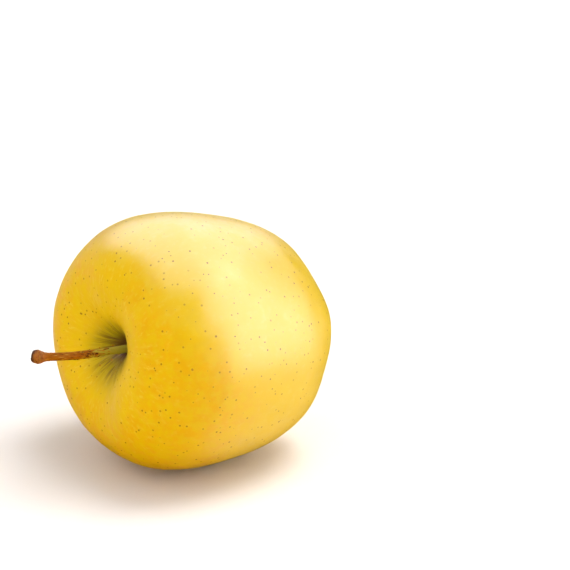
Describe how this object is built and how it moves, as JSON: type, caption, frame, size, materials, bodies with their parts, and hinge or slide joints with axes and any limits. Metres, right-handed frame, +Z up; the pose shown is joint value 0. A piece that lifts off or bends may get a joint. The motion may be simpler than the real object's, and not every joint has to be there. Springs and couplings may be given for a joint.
{
  "type": "whole yellow apple",
  "caption": "Whole ripe yellow apple lying on its cheek, with a woody stem standing out of its hollow and a dried calyx in the basin at its other end.",
  "frame": {"origin": "centre of the small level flat on its cheek that the fruit rests on", "axes": "+Z up as the fruit lies; the core lies in the XZ plane, with the stem end at -X, raised 8.3 degrees, and the calyx end at +X"},
  "size_m": [0.0874, 0.0754, 0.0721],
  "materials": {
    "skin": "waxy satin fruit skin, golden yellow with small brown pores, olive green in the hollow round the stem",
    "stem": "dry brown bark, green-brown and flaking towards the free end",
    "calyx": "dried, downy grey-brown sepals"
  },
  "bodies": {
    "root": {"fruit": "skin", "stem": "stem", "calyx": "calyx"}
  },
  "joints": []
}
